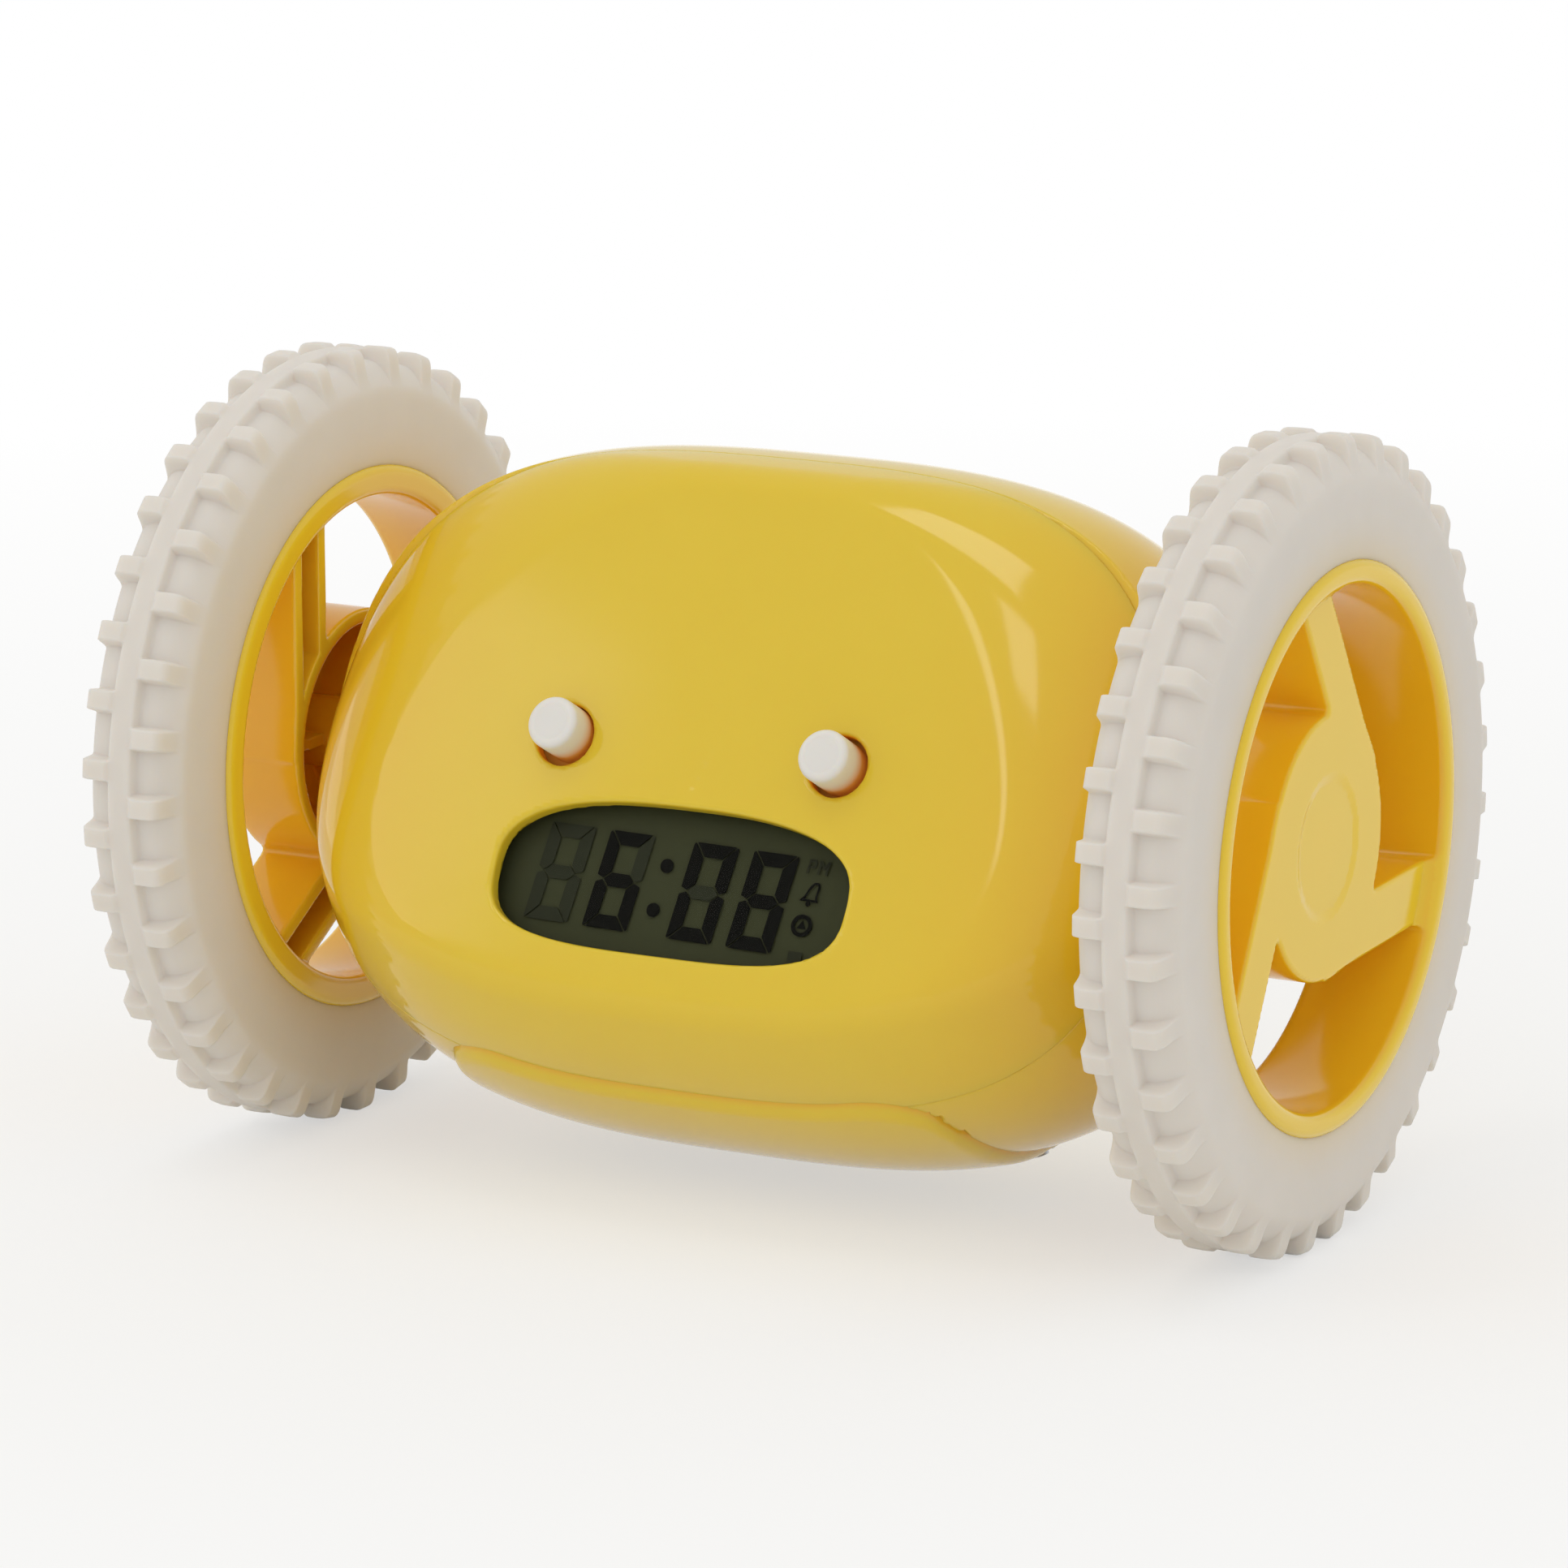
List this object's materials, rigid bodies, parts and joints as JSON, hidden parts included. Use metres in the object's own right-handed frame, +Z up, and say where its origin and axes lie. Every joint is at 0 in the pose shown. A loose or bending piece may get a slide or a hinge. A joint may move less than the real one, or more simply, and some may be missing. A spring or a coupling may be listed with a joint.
{
  "type": "two-wheeled alarm clock",
  "caption": "Small alarm clock with a barrel body between two large spoked wheels, two eye-like buttons and a mouth-shaped display; motors roll it away.",
  "frame": {"origin": "on the floor, under the middle of the wheels' axle line", "axes": "+X along the axle towards the wheel on the viewer's right, +Z up, the face looks along -Y"},
  "size_m": [0.135, 0.09, 0.09],
  "materials": {
    "shell_plastic": "moulded ABS, satin gloss, warm yellow",
    "rim_plastic": "moulded translucent polypropylene, gloss, warm yellow",
    "tyre_rubber": "moulded silicone rubber, milky white",
    "button_plastic": "moulded ABS, white",
    "lens_plastic": "clear acrylic over a dark display",
    "lcd_glass": "reflective LCD, olive grey",
    "frame_plastic": "moulded ABS, unpainted",
    "dark_plastic": "moulded POM, black",
    "circuit_board": "glass epoxy board, solder mask",
    "chip_epoxy": "black epoxy",
    "capacitor_sleeve": "shrink sleeve",
    "silicone": "moulded silicone rubber",
    "screw_steel": "zinc plated",
    "shaft_steel": "ground steel",
    "spring_steel": "nickel plated spring steel",
    "motor_can": "drawn steel can, zinc plated",
    "brass": "turned brass",
    "gear_plastic": "moulded acetal",
    "speaker_frame": "black painted basket with a paper cone",
    "cell_jacket": "film-wrapped steel jacket, unmarked"
  },
  "bodies": {
    "chassis": {"front_shell": "shell_plastic", "rear_shell": "shell_plastic", "battery_door": "shell_plastic", "door_screw": "screw_steel", "shell_screws": "screw_steel", "display_lens": "lens_plastic", "lcd_panel": "lcd_glass", "lcd_holder": "frame_plastic", "contact_strip": "silicone", "main_board": "circuit_board", "board_screws": "screw_steel", "clock_chip": "chip_epoxy", "quartz_crystal": "screw_steel", "power_capacitor": "capacitor_sleeve", "driver_chip": "chip_epoxy", "left_eye_dome": "silicone", "right_eye_dome": "silicone", "time_key_dome": "silicone", "alarm_key_dome": "silicone", "mode_switch": "screw_steel", "key_board": "circuit_board", "key_board_screws": "screw_steel", "speaker": "speaker_frame", "battery_cells": "cell_jacket", "battery_springs": "spring_steel", "battery_contacts": "spring_steel", "left_gear_case": "frame_plastic", "right_gear_case": "frame_plastic", "left_gear_cover": "frame_plastic", "right_gear_cover": "frame_plastic", "case_screws": "screw_steel", "left_idler_pin": "shaft_steel", "right_idler_pin": "shaft_steel", "left_motor": "motor_can", "right_motor": "motor_can", "left_axle_bush": "brass", "right_axle_bush": "brass"},
    "left_wheel": {"left_rim": "rim_plastic", "left_tyre": "tyre_rubber", "left_axle": "shaft_steel", "left_output_gear": "gear_plastic"},
    "left_idler": {"left_idler_gear": "gear_plastic"},
    "left_rotor": {"left_motor_shaft": "shaft_steel", "left_motor_pinion": "brass"},
    "left_eye": {"left_eye_button": "button_plastic"},
    "right_wheel": {"right_rim": "rim_plastic", "right_tyre": "tyre_rubber", "right_axle": "shaft_steel", "right_output_gear": "gear_plastic"},
    "right_idler": {"right_idler_gear": "gear_plastic"},
    "right_rotor": {"right_motor_shaft": "shaft_steel", "right_motor_pinion": "brass"},
    "right_eye": {"right_eye_button": "button_plastic"},
    "time_button": {"time_key": "button_plastic"},
    "alarm_button": {"alarm_key": "button_plastic"},
    "slider": {"mode_slider": "dark_plastic"}
  },
  "joints": [
    {"name": "right_wheel_spin", "type": "hinge", "parent": "chassis", "child": "right_wheel", "pos_m": [0, 0, 0.045], "axis": [1, 0, 0], "continuous": true},
    {"name": "left_wheel_spin", "type": "hinge", "parent": "chassis", "child": "left_wheel", "pos_m": [0, 0, 0.045], "axis": [1, 0, 0], "continuous": true},
    {"name": "right_idler_spin", "type": "hinge", "parent": "chassis", "child": "right_idler", "pos_m": [0, 0.01352, 0.05151], "axis": [1, 0, 0], "continuous": true},
    {"name": "right_rotor_spin", "type": "hinge", "parent": "chassis", "child": "right_rotor", "pos_m": [0, 0.02002, 0.03799], "axis": [1, 0, 0], "continuous": true},
    {"name": "left_idler_spin", "type": "hinge", "parent": "chassis", "child": "left_idler", "pos_m": [0, 0.01352, 0.05151], "axis": [1, 0, 0], "continuous": true},
    {"name": "left_rotor_spin", "type": "hinge", "parent": "chassis", "child": "left_rotor", "pos_m": [0, 0.02002, 0.03799], "axis": [1, 0, 0], "continuous": true},
    {"name": "right_eye_press", "type": "slide", "parent": "chassis", "child": "right_eye", "axis": [0, 0.8829, -0.4695], "range_m": [0, 0.001], "stiffness_N_per_m": 1000, "springref_m": -0.0005, "deforming": ["right_eye_dome"]},
    {"name": "left_eye_press", "type": "slide", "parent": "chassis", "child": "left_eye", "axis": [0, 0.8829, -0.4695], "range_m": [0, 0.001], "stiffness_N_per_m": 1000, "springref_m": -0.0005, "deforming": ["left_eye_dome"]},
    {"name": "time_key_press", "type": "slide", "parent": "chassis", "child": "time_button", "axis": [0, -0.8829, -0.4695], "range_m": [0, 0.0008], "stiffness_N_per_m": 1000, "springref_m": -0.0005, "deforming": ["time_key_dome"]},
    {"name": "alarm_key_press", "type": "slide", "parent": "chassis", "child": "alarm_button", "axis": [0, -0.8829, -0.4695], "range_m": [0, 0.0008], "stiffness_N_per_m": 1000, "springref_m": -0.0005, "deforming": ["alarm_key_dome"]},
    {"name": "mode_slide", "type": "slide", "parent": "chassis", "child": "slider", "axis": [1, 0, 0], "range_m": [-0.0015, 0.0015]}
  ],
  "couplings": [
    {"joint": "right_idler_spin", "follows": "right_wheel_spin", "ratio": -4},
    {"joint": "right_rotor_spin", "follows": "right_wheel_spin", "ratio": 16},
    {"joint": "left_idler_spin", "follows": "left_wheel_spin", "ratio": -4},
    {"joint": "left_rotor_spin", "follows": "left_wheel_spin", "ratio": 16}
  ]
}
